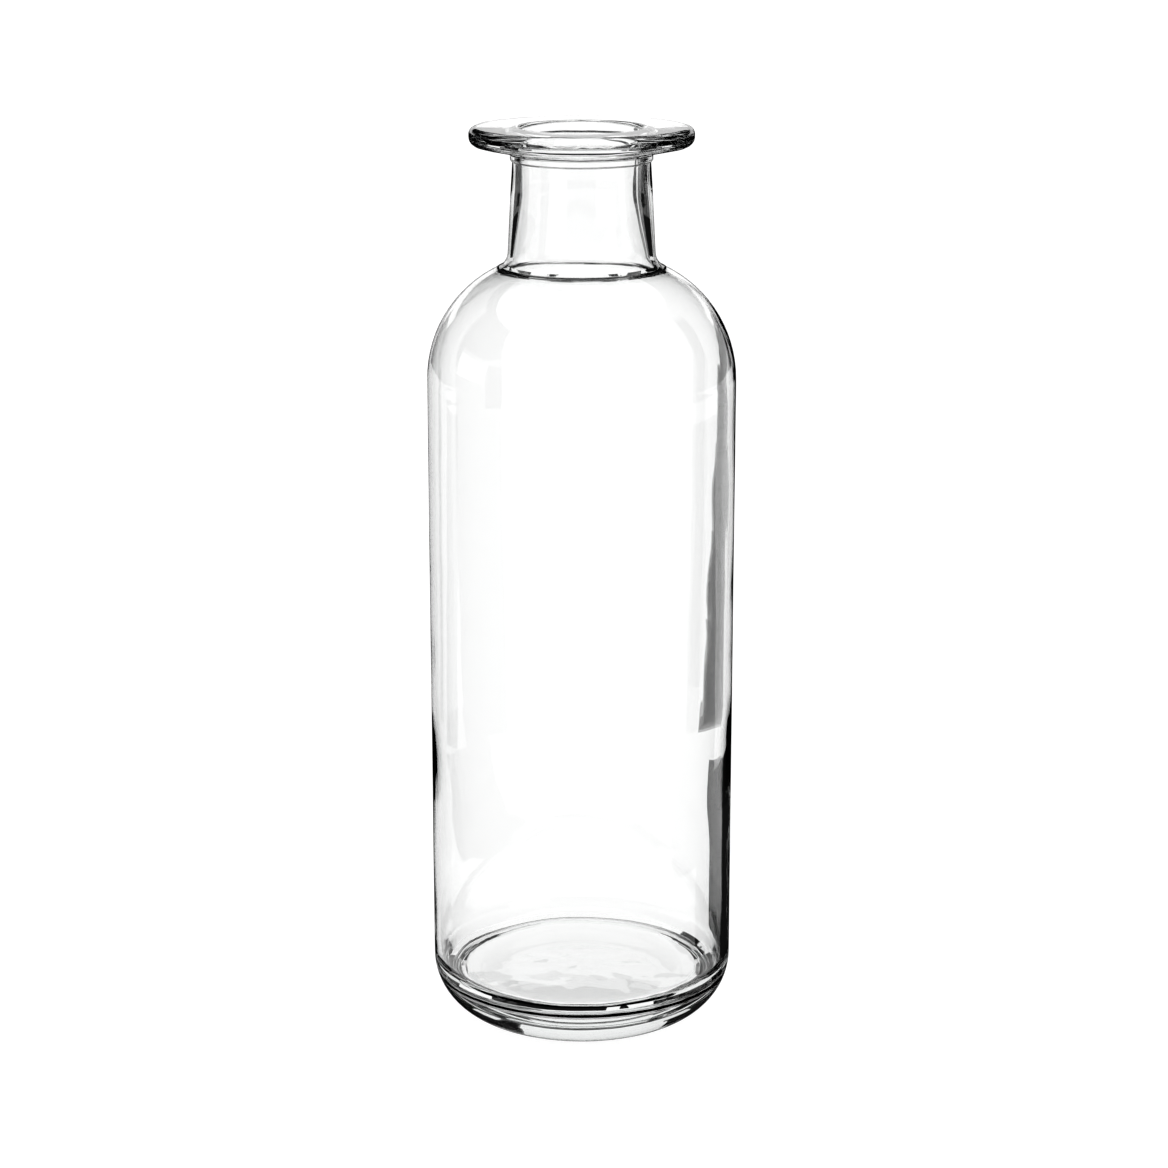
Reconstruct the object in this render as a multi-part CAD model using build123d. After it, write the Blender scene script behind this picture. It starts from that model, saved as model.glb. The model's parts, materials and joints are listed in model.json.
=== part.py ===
from build123d import *
import math
import os

# A bottle-shaped bud vase, moulded from one gob of clear glass: a wide flat lip, a collar
# under it, a nearly straight neck, a round shoulder, a plain cylinder and a thick base.
# Every surface is turned about Z. Z = 0 is the ring that the vase stands on.
# All sizes are in millimetres.

# Overall
body_radius = 36.5
height = 217.0

# Foot and heel, outside
heel_radius = 14.6
foot_ring_width = 2.0
push_up_height = 0.5
push_up_rounding = 6.0

# Shoulder, outside
shoulder_start = 157.4
shoulder_radius = 29.6
shoulder_to_neck_rounding = 4.0

# Neck and collar, outside
neck_bottom_radius = 17.45
neck_top_radius = 16.2
collar_radius = 16.7
collar_bottom = 209.0
collar_height = 1.8
collar_rounding = 0.35

# Lip
lip_radius = 26.3
lip_edge_height = 4.2
lip_top_rounding = 1.8
lip_under_rounding = 2.3
lip_root_rounding = 0.7

# Inside
bore_radius = 14.0
bore_bottom = 200.0
mouth_rounding = 1.4
neck_inside_bottom_radius = 16.2
neck_inside_rounding = 5.2
wall = 1.2
thin_wall_bottom = 76.0
wall_at_heel = 1.8
thick_wall_top = 56.0
wall_change_rounding = 250.0
floor_height = 10.0
floor_dome = 0.6
floor_corner_rounding = 6.0

# Places worked out from the sizes above
foot_ring_outer_radius = body_radius - heel_radius
foot_ring_inner_radius = foot_ring_outer_radius - foot_ring_width
shoulder_centre_radius = body_radius - shoulder_radius
collar_top = collar_bottom + collar_height
lip_edge_bottom = height - lip_edge_height
inside_radius = body_radius - wall
heel_inside_radius = body_radius - wall_at_heel


def shoulder_end(arc_radius, meeting_radius):
    """Angle in degrees, from level, where a shoulder arc has come in to meeting_radius."""
    return math.degrees(math.acos((meeting_radius - shoulder_centre_radius) / arc_radius))


def shoulder_arc(arc_radius, meeting_radius):
    """The shoulder's arc, from the top of the wall to the foot of the neck."""
    return CenterArc(
        (shoulder_centre_radius, shoulder_start),
        arc_radius,
        0,
        shoulder_end(arc_radius, meeting_radius),
    )


def rounded(outline, corner, radius):
    """The outline's face with the corner nearest to that point rounded."""
    nearest = outline.vertices().sort_by_distance((corner[0], corner[1], 0))[0]
    return fillet(nearest, radius)


def outside_half():
    """Half section of the vase as if it were solid, in the plane of radius and height."""
    push_up = ThreePointArc(
        (0, push_up_height),
        (foot_ring_inner_radius / 2, push_up_height * 0.75),
        (foot_ring_inner_radius, 0),
    )
    foot_ring = Line((foot_ring_inner_radius, 0), (foot_ring_outer_radius, 0))
    heel = CenterArc((foot_ring_outer_radius, heel_radius), heel_radius, -90, 90)
    shoulder = shoulder_arc(shoulder_radius, neck_bottom_radius)
    side = Line(heel @ 1, shoulder @ 0)
    lip_corner_under = (lip_radius, lip_edge_bottom)
    lip_root = (collar_radius, collar_top)
    collar_corner = (collar_radius, collar_bottom)
    rest = Polyline(
        shoulder @ 1,
        (neck_top_radius, collar_bottom),
        collar_corner,
        lip_root,
        lip_corner_under,
        (lip_radius, height),
        (0, height),
        (0, push_up_height),
    )
    half = make_face(Curve() + [push_up, foot_ring, heel, side, shoulder, rest])
    half = rounded(half, (foot_ring_inner_radius, 0), push_up_rounding)
    half = rounded(half, tuple(shoulder @ 1)[:2], shoulder_to_neck_rounding)
    half = rounded(half, collar_corner, collar_rounding)
    half = rounded(half, lip_root, lip_root_rounding)
    half = rounded(half, lip_corner_under, lip_under_rounding)
    return rounded(half, (lip_radius, height), lip_top_rounding)


def inside_half():
    """Half section of the hollow: mouth, bore, neck, shoulder, wall, floor."""
    floor = ThreePointArc(
        (0, floor_height + floor_dome),
        (heel_inside_radius / 2, floor_height + floor_dome * 0.75),
        (heel_inside_radius, floor_height),
    )
    shoulder = shoulder_arc(shoulder_radius - wall, neck_inside_bottom_radius)
    wall_corners = [(heel_inside_radius, thick_wall_top), (inside_radius, thin_wall_bottom)]
    side = Polyline(floor @ 1, *wall_corners, shoulder @ 0)
    rest = Polyline(
        shoulder @ 1,
        (bore_radius, bore_bottom),
        (bore_radius, height),
        (0, height),
        (0, floor_height + floor_dome),
    )
    half = make_face(Curve() + [floor, side, shoulder, rest])
    for corner in wall_corners:
        half = rounded(half, corner, wall_change_rounding)
    half = rounded(half, tuple(floor @ 1)[:2], floor_corner_rounding)
    return rounded(half, tuple(shoulder @ 1)[:2], neck_inside_rounding)


def turned(half):
    """A half section, stood up from the XY plane and turned about Z."""
    return revolve(Plane.XZ * half, Axis.Z, 360)


def glass_vase():
    """The one piece of glass, with its mouth's edge rounded."""
    solid = turned(outside_half()) - turned(inside_half())
    mouth_edge = solid.edges().filter_by(GeomType.CIRCLE).filter_by(
        lambda edge: abs(edge.center().Z - height) < 0.01 and abs(edge.radius - bore_radius) < 0.01
    )
    return fillet(mouth_edge, mouth_rounding)


os.makedirs("parts", exist_ok=True)
vase = glass_vase()
vase.label = "glass_vase"
export_step(vase, "parts/glass_vase.step")

glass_volume = vase.volume / 1000
print(f"glass {glass_volume:.1f} cm3, {glass_volume * 2.5:.0f} g at 2.5 g/cm3")
print("shoulder meets neck at", round(shoulder_end(shoulder_radius, neck_bottom_radius), 2), "degrees")
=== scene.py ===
import json
import math

import bmesh
import bpy
from mathutils import Matrix, Vector, noise


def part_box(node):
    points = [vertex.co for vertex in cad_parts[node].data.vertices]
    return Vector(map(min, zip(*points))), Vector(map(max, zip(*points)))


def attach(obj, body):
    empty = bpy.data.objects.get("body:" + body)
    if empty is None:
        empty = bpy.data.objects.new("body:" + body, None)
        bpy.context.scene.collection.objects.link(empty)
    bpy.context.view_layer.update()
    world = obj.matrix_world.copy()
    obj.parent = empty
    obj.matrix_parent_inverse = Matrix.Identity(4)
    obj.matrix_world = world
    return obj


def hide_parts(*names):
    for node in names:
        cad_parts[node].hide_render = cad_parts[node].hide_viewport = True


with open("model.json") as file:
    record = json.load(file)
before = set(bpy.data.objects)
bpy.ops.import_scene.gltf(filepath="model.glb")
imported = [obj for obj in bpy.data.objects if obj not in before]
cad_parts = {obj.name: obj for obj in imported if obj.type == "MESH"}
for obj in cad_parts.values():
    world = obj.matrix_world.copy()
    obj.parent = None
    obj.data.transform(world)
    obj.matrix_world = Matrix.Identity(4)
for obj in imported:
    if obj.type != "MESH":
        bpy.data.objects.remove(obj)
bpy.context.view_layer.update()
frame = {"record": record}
mm = 0.001
low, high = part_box("glass_vase")
bodyRadius = high[0]
fullHeight = high[2]
mouthBore = next(m for m in frame["record"]["mounts"] if m["name"] == "mouth_bore")
boreRadius = mouthBore["dims"]["r_mm"] * mm
print("frame loaded, body radius", round(bodyRadius, 5), "height", round(fullHeight, 5))


glassShape = {
    "segments": 256,
    "longestRun": 3.0 * mm,  # longest stretch of outline between two points
    "arcStep": math.radians(4.5),
    "clearOfBox": 0.06 * mm,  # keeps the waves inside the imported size
    "heelRadius": 14.6 * mm,
    "footRingWidth": 2.0 * mm,
    "pushUpHeight": 0.5 * mm,
    "pushUpRounding": 6.0 * mm,
    "shoulderStart": 157.4 * mm,
    "shoulderRadius": 29.6 * mm,
    "neckFootRadius": 17.45 * mm,
    "neckFootRounding": 4.0 * mm,
    "neckTopRadius": 16.2 * mm,
    "collarRadius": 16.7 * mm,
    "collarBottom": 209.0 * mm,
    "collarHeight": 1.8 * mm,
    "collarRounding": 0.35 * mm,
    "lipRadius": 26.3 * mm,
    "lipEdgeHeight": 4.2 * mm,
    "lipTopRounding": 1.8 * mm,
    "lipUnderRounding": 2.3 * mm,
    "lipRootRounding": 0.7 * mm,
    "mouthRounding": 1.4 * mm,
    "boreBottom": 200.0 * mm,
    "neckInsideRadius": 16.2 * mm,
    "neckInsideRounding": 5.2 * mm,
    "wall": 1.2 * mm,
    "thinWallBottom": 76.0 * mm,
    "wallAtHeel": 1.8 * mm,
    "thickWallTop": 56.0 * mm,
    "wallChangeRounding": 250.0 * mm,
    "floorHeight": 10.0 * mm,
    "floorDome": 0.6 * mm,
    "floorCornerRounding": 6.0 * mm,
    "neckTopRounding": 0.3 * mm,
    "boreBlend": 30.0 * mm,
    "sideShare": 0.98,  # the most of a side that one rounding may take up
    # how far these arcs stay under full size, so that a straight is left beside each
    "heelSlack": 0.01 * mm,
    "shoulderSlack": 0.3 * mm,
    "insideSlack": 2.0 * mm,
}


def shoulderCorners(arcRadius, centreRadius, meetingRadius, start):
    # the corner that the shoulder's arc rounds, and the point where it ends at the neck
    end = math.acos((meetingRadius - centreRadius) / arcRadius)
    corner = (centreRadius + arcRadius, start + arcRadius * math.tan(end / 2))
    foot = (meetingRadius, start + arcRadius * math.sin(end))
    return corner, foot


def domeCorner(rim, rise):
    # the corner of a shallow dome that is level on the axis, and its radius
    reach = (rim * rim + rise * rise) / (2 * rim)
    turn = math.atan2(rise, rim - reach)
    return reach, reach / math.tan(turn / 2)


def vaseOutline(g):
    # corners from the underside's middle, up the outside, over the lip and down to the
    # floor's middle: radius, height, rounding
    radius = bodyRadius - g["clearOfBox"]
    top = fullHeight - g["clearOfBox"]
    ringOuter = radius - g["heelRadius"]
    ringInner = ringOuter - g["footRingWidth"]
    pushReach, pushRadius = domeCorner(ringInner, g["pushUpHeight"])
    centre = radius - g["shoulderRadius"]
    corner, foot = shoulderCorners(
        g["shoulderRadius"], centre, g["neckFootRadius"], g["shoulderStart"]
    )
    innerCorner, innerFoot = shoulderCorners(
        g["shoulderRadius"] - g["wall"], centre, g["neckInsideRadius"], g["shoulderStart"]
    )
    heelInside = radius - g["wallAtHeel"]
    floorReach, floorRadius = domeCorner(heelInside, g["floorDome"])
    outside = [
        (0, g["pushUpHeight"], 0),
        (pushReach, g["pushUpHeight"], pushRadius),
        (ringInner, 0, g["pushUpRounding"]),
        (radius, 0, g["heelRadius"] - g["heelSlack"]),
        (*corner, g["shoulderRadius"] - g["shoulderSlack"]),
        (*foot, g["neckFootRounding"]),
        (g["neckTopRadius"], g["collarBottom"], g["neckTopRounding"]),
        (g["collarRadius"], g["collarBottom"], g["collarRounding"]),
        (g["collarRadius"], g["collarBottom"] + g["collarHeight"], g["lipRootRounding"]),
        (g["lipRadius"], top - g["lipEdgeHeight"], g["lipUnderRounding"]),
        (g["lipRadius"], top, g["lipTopRounding"]),
    ]
    inside = [
        (boreRadius, top, g["mouthRounding"]),
        (boreRadius, g["boreBottom"], g["boreBlend"]),
        (*innerFoot, g["neckInsideRounding"]),
        (*innerCorner, g["shoulderRadius"] - g["wall"] - g["insideSlack"]),
        (radius - g["wall"], g["thinWallBottom"], g["wallChangeRounding"]),
        (heelInside, g["thickWallTop"], g["wallChangeRounding"]),
        (heelInside, g["floorHeight"], g["floorCornerRounding"]),
        (floorReach, g["floorHeight"] + g["floorDome"], floorRadius),
        (0, g["floorHeight"] + g["floorDome"], 0),
    ]
    return outside + inside


def roundedOutline(corners, arcStep, sideShare):
    # each corner becomes an arc of its own radius, cut short where its two sides are short
    places = [Vector((c[0], c[1])) for c in corners]
    points = [places[0]]
    for i in range(1, len(corners) - 1):
        at, rounding = places[i], corners[i][2]
        back, on = places[i - 1] - at, places[i + 1] - at
        turn = math.pi - back.angle(on)
        shorter = min(back.length, on.length)
        reach = min(rounding * math.tan(turn / 2), shorter * sideShare)
        radius = reach / math.tan(turn / 2)
        start = at + back.normalized() * reach
        inward = (back.normalized() + on.normalized()).normalized()
        middle = at + inward * math.hypot(radius, reach)
        steps = max(2, math.ceil(turn / arcStep))
        side = 1 if back.x * on.y - back.y * on.x < 0 else -1
        spoke = start - middle
        for k in range(steps + 1):
            angle = side * turn * k / steps
            c, s = math.cos(angle), math.sin(angle)
            turned = Vector((c * spoke.x - s * spoke.y, s * spoke.x + c * spoke.y))
            points.append(middle + turned)
    points.append(places[-1])
    return points


def turnedGlass(g):
    # the whole outline is spun once, so outside and inside are one closed skin
    bm = bmesh.new()
    points = roundedOutline(vaseOutline(g), g["arcStep"], g["sideShare"])
    verts = [bm.verts.new((p.x, 0, p.y)) for p in points]
    edges = [bm.edges.new(pair) for pair in zip(verts, verts[1:])]
    for edge in edges:
        cuts = math.ceil(edge.calc_length() / g["longestRun"]) - 1
        if cuts > 0:
            bmesh.ops.subdivide_edges(bm, edges=[edge], cuts=cuts)
    print("outline points", len(bm.verts))
    bmesh.ops.spin(
        bm,
        geom=bm.verts[:] + bm.edges[:],
        cent=(0, 0, 0),
        axis=(0, 0, 1),
        angle=math.tau,
        steps=g["segments"],
        use_merge=True,
    )
    bmesh.ops.remove_doubles(bm, verts=bm.verts[:], dist=0.001 * mm)
    bmesh.ops.recalc_face_normals(bm, faces=bm.faces[:])
    return bm


# how far each stretch of skin strays and how long its waves are
glassWaves = {
    "outside": {"depth": 0.09 * mm, "length": 26 * mm},
    "lip": {"depth": 0.22 * mm, "length": 7 * mm, "from": 203 * mm, "to": 208 * mm},
    "inside": {"depth": 0.22 * mm, "length": 30 * mm},
    "floor": {"depth": 0.3 * mm, "length": 9 * mm, "from": 18 * mm, "to": 11 * mm},
    "offCentre": (-0.15 * mm, 0, 0),  # the mould's plunger stood a little to one side
    # each octave: its weight, how much finer it is, and where it is read from
    "octaves": [(0.6, 1.0, (0, 0, 0)), (0.4, 2.3, (7, 3, 1))],
    "axisFrom": 25 * mm,
    "axisUnderTop": 8 * mm,
}


def facesInward(vert, waves):
    # true on the hollow's skin, seen from the nearest point of the axis inside it
    height = min(max(vert.co.z, waves["axisFrom"]), fullHeight - waves["axisUnderTop"])
    return vert.normal.dot(vert.co - Vector((0, 0, height))) < 0


def straying(place, wave, octaves):
    # how far into the glass the skin goes here, from nothing to the wave's full depth
    spot = place / wave["length"]
    strayed = 0
    for share, finer, start in octaves:
        strayed += share * noise.noise(spot * finer + Vector(start))
    return wave["depth"] * (0.5 + 0.5 * strayed)


def waveSkin(bm, waves):
    # blown and pressed glass is never quite even, least of all where the mould's plunger
    # and the gob's own weight shaped it; every wave goes into the wall's own side
    bm.normal_update()
    moves = []
    for vert in bm.verts:
        inward = facesInward(vert, waves)
        plain, strong = ("inside", "floor") if inward else ("outside", "lip")
        begin, end = waves[strong]["from"], waves[strong]["to"]
        share = min(max((vert.co.z - begin) / (end - begin), 0), 1)
        plainDepth = straying(vert.co, waves[plain], waves["octaves"])
        strongDepth = straying(vert.co, waves[strong], waves["octaves"])
        depth = plainDepth * (1 - share) + strongDepth * share
        aside = Vector(waves["offCentre"]) if inward else Vector()
        moves.append((vert, aside - vert.normal * depth))
    for vert, move in moves:
        vert.co += move


def meshPiece(name, bm, material):
    mesh = bpy.data.meshes.new(name)
    bm.to_mesh(mesh)
    bm.free()
    for face in mesh.polygons:
        face.use_smooth = True
    piece = bpy.data.objects.new(name, mesh)
    bpy.context.scene.collection.objects.link(piece)
    mesh.materials.append(material)
    return piece


glassFinish = {
    "colour": (0.995, 0.997, 0.996, 1),
    "ior": 1.52,
    "roughness": (0.0, 0.02),  # clearest and most worn
    "patchScale": 35,  # patches of wear, per metre
    "patchDetail": 4,
    "patchRange": (0.4, 0.75),  # the noise where wear starts and where it is full
    "streakStretch": (1, 1, 0.06),  # the skin's ripples run up and down
    "streakScale": 160,
    "streakDetail": 2,
    "rippleDepth": 0.02 * mm,
    "absorbed": (0.5, 0.56, 0.54, 1),
    "density": 3.0,
}


def clearGlass(f):
    made = bpy.data.materials.new("clearGlass")
    made.use_nodes = True
    tree = made.node_tree
    shader = tree.nodes["Principled BSDF"]
    shader.inputs["Base Color"].default_value = f["colour"]
    shader.inputs["Transmission Weight"].default_value = 1.0
    shader.inputs["IOR"].default_value = f["ior"]
    place = tree.nodes.new("ShaderNodeTexCoord")
    patches = tree.nodes.new("ShaderNodeTexNoise")
    patches.inputs["Scale"].default_value = f["patchScale"]
    patches.inputs["Detail"].default_value = f["patchDetail"]
    tree.links.new(place.outputs["Object"], patches.inputs["Vector"])
    wear = tree.nodes.new("ShaderNodeMapRange")
    wear.inputs["From Min"].default_value, wear.inputs["From Max"].default_value = f["patchRange"]
    wear.inputs["To Min"].default_value, wear.inputs["To Max"].default_value = f["roughness"]
    tree.links.new(patches.outputs["Fac"], wear.inputs["Value"])
    tree.links.new(wear.outputs[0], shader.inputs["Roughness"])
    stretch = tree.nodes.new("ShaderNodeMapping")
    stretch.inputs["Scale"].default_value = f["streakStretch"]
    tree.links.new(place.outputs["Object"], stretch.inputs["Vector"])
    streaks = tree.nodes.new("ShaderNodeTexNoise")
    streaks.inputs["Scale"].default_value = f["streakScale"]
    streaks.inputs["Detail"].default_value = f["streakDetail"]
    tree.links.new(stretch.outputs[0], streaks.inputs["Vector"])
    ripple = tree.nodes.new("ShaderNodeBump")
    ripple.inputs["Strength"].default_value = 1
    ripple.inputs["Distance"].default_value = f["rippleDepth"]
    tree.links.new(streaks.outputs["Fac"], ripple.inputs["Height"])
    tree.links.new(ripple.outputs[0], shader.inputs["Normal"])
    absorb = tree.nodes.new("ShaderNodeVolumeAbsorption")
    absorb.inputs["Color"].default_value = f["absorbed"]
    absorb.inputs["Density"].default_value = f["density"]
    tree.links.new(absorb.outputs[0], tree.nodes["Material Output"].inputs["Volume"])
    return made


vaseSkin = turnedGlass(glassShape)
waveSkin(vaseSkin, glassWaves)
vase = meshPiece("bud_vase", vaseSkin, clearGlass(glassFinish))
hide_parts("glass_vase")
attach(vase, "root")
print("glass done,", len(vase.data.polygons), "faces")


studio = {
    "floorSize": 16.0,
    "floorColour": (0.2, 0.2, 0.2, 1),
    "floorGlow": 0.9,  # a lit table: most of the floor's light is its own
    "roomLight": 1.06,
    "skyline": 0.02,  # below it the glass mirrors nothing
    "matteRoughness": 0.9,
    "blackCard": (0.01, 0.01, 0.01, 1),
    "cardStep": 3,  # degrees between the edges of a card
}

# dark cards that only the glass sees, as sectors round the vase: from and to (degrees from
# the back, turning left), sideways shift at the foot and at the top, near and far edge, foot
# and top (metres)
darkCards = {
    "upperRing": (0, 360, 0, 0, 0.8, 0.8, 0.37, 0.95),
    "backLeftStand": (26, 40, 0, 0, 0.8, 0.8, 0.015, 0.27),
    "leftStand": (40, 75, 0, 0, 0.8, 0.8, 0.015, 0.37),
    "frontLeftStand": (105, 207, 0, 0, 0.8, 0.8, 0.0, 0.37),
    "rightStand": (243, 320, 0, 0, 0.8, 0.8, 0.015, 0.37),
    "backRightStand": (320, 336, 0, 0, 0.8, 0.8, 0.015, 0.27),
    "leftTable": (24, 75, -0.035, -0.035, 0.004, 0.035, 0.001, 0.001),
    "rightTable": (-75, -9, 0.0325, 0.0325, 0.004, 0.17, 0.001, 0.001),
    "leftFloor": (60, 76, 0, 0, 0.2, 0.8, 0.001, 0.001),
    "rightFloor": (248, 300, 0, 0, 0.14, 0.8, 0.001, 0.001),
}

# a dark post at the right, of thin gauzes one behind the other: the widest are the
# shortest, so it is broad and black at its foot and fades upward
rightPost = {
    "gauzes": 8,
    "from": -22.0,
    "to": -13.5,
    "stepIn": (0.36, 0.28),
    "lean": 0.02,
    "away": 0.2,
    "gap": 1 * mm,
    "foot": 3 * mm,
    "footStep": 1 * mm,
    "top": 45 * mm,
    "topStep": 28 * mm,
    "alpha": 0.55,
}


def plainMaterial(name, colour, glow):
    made = bpy.data.materials.new(name)
    made.use_nodes = True
    shader = made.node_tree.nodes["Principled BSDF"]
    shader.inputs["Base Color"].default_value = colour
    shader.inputs["Roughness"].default_value = studio["matteRoughness"]
    shader.inputs["Specular IOR Level"].default_value = 0.0
    shader.inputs["Emission Color"].default_value = (1, 1, 1, 1)
    shader.inputs["Emission Strength"].default_value = glow
    return made


def litFloor(s):
    bm = bmesh.new()
    bmesh.ops.create_grid(bm, x_segments=1, y_segments=1, size=s["floorSize"] / 2)
    floor = meshPiece("floor", bm, plainMaterial("litTable", s["floorColour"], s["floorGlow"]))
    floor.visible_glossy = False


def darkCard(name, card, material):
    # an edge, standing or lying, swung round the vase
    start, end, footShift, topShift, near, far, foot, top = card
    bm = bmesh.new()
    ends = [bm.verts.new((footShift, near, foot)), bm.verts.new((topShift, far, top))]
    edge = bm.edges.new(ends)
    turn = Matrix.Rotation(math.radians(start), 3, "Z")
    bmesh.ops.rotate(bm, cent=(0, 0, 0), matrix=turn, verts=bm.verts[:])
    bmesh.ops.spin(
        bm,
        geom=ends + [edge],
        cent=(0, 0, 0),
        axis=(0, 0, 1),
        angle=math.radians(end - start),
        steps=math.ceil((end - start) / studio["cardStep"]),
        use_merge=end - start == 360,
    )
    sheet = meshPiece(name, bm, material)
    sheet.visible_camera = False
    sheet.visible_diffuse = False
    sheet.visible_shadow = False


def darkPost(p):
    gauze = plainMaterial("darkGauze", studio["blackCard"], 0)
    gauze.node_tree.nodes["Principled BSDF"].inputs["Alpha"].default_value = p["alpha"]
    tallest = p["top"] + (p["gauzes"] - 1) * p["topStep"]
    for i in range(p["gauzes"]):
        start, end = p["from"] + i * p["stepIn"][0], p["to"] - i * p["stepIn"][1]
        foot, top = p["foot"] + i * p["footStep"], p["top"] + i * p["topStep"]
        away = p["away"] + i * p["gap"]
        lean = p["lean"] * top / tallest
        darkCard(f"rightGauze{i}", (start, end, 0, lean, away, away, foot, top), gauze)


def roomLight(s):
    # a white room, of which the glass mirrors only what is above the skyline
    world = bpy.data.worlds.new("studioRoom")
    bpy.context.scene.world = world
    world.use_nodes = True
    nodes, links = world.node_tree.nodes, world.node_tree.links
    place = nodes.new("ShaderNodeTexCoord")
    split = nodes.new("ShaderNodeSeparateXYZ")
    links.new(place.outputs["Generated"], split.inputs[0])
    below = nodes.new("ShaderNodeMath")
    below.operation = "LESS_THAN"
    below.inputs[1].default_value = s["skyline"]
    links.new(split.outputs["Z"], below.inputs[0])
    path = nodes.new("ShaderNodeLightPath")
    unlit = nodes.new("ShaderNodeMath")
    unlit.operation = "MULTIPLY"
    links.new(path.outputs["Is Reflection Ray"], unlit.inputs[0])
    links.new(below.outputs[0], unlit.inputs[1])
    hidden = nodes.new("ShaderNodeMath")
    hidden.operation = "SUBTRACT"
    hidden.use_clamp = True
    links.new(unlit.outputs[0], hidden.inputs[0])
    links.new(path.outputs["Is Diffuse Ray"], hidden.inputs[1])
    level = nodes.new("ShaderNodeMath")
    level.operation = "MULTIPLY_ADD"
    links.new(hidden.outputs[0], level.inputs[0])
    level.inputs[1].default_value = -s["roomLight"]
    level.inputs[2].default_value = s["roomLight"]
    links.new(level.outputs[0], nodes["Background"].inputs["Strength"])
    nodes["Background"].inputs["Color"].default_value = (1, 1, 1, 1)


litFloor(studio)
blackCard = plainMaterial("blackCard", studio["blackCard"], 0)
for name, card in darkCards.items():
    darkCard(name, card, blackCard)
darkPost(rightPost)
roomLight(studio)


cameraSet = {
    "lens": 92.33,
    "place": (0.55 * mm, -695.66 * mm, 290.19 * mm),
    "pitch": 14.707,
    "sensor": 36,
    "clip": (0.05, 50),
}


def studioCamera(c):
    data = bpy.data.cameras.new("camera")
    data.lens = c["lens"]
    data.sensor_width = c["sensor"]
    data.clip_start, data.clip_end = c["clip"]
    camera = bpy.data.objects.new("camera", data)
    camera.location = c["place"]
    camera.rotation_euler = (math.radians(90 - c["pitch"]), 0, 0)
    bpy.context.scene.collection.objects.link(camera)
    bpy.context.scene.camera = camera


# clear glass passes light on many times, and inside the lip and the heel it goes round
picture = {"look": "Medium High Contrast", "exposure": -0.22, "bounces": 20, "glossyBounces": 5}


def pictureSettings(p):
    scene = bpy.context.scene
    scene.view_settings.view_transform = "Standard"
    scene.view_settings.look = p["look"]
    scene.view_settings.exposure = p["exposure"]
    scene.cycles.max_bounces = p["bounces"]
    scene.cycles.transmission_bounces = p["bounces"]
    scene.cycles.glossy_bounces = p["glossyBounces"]


studioCamera(cameraSet)
pictureSettings(picture)

print("studio done")
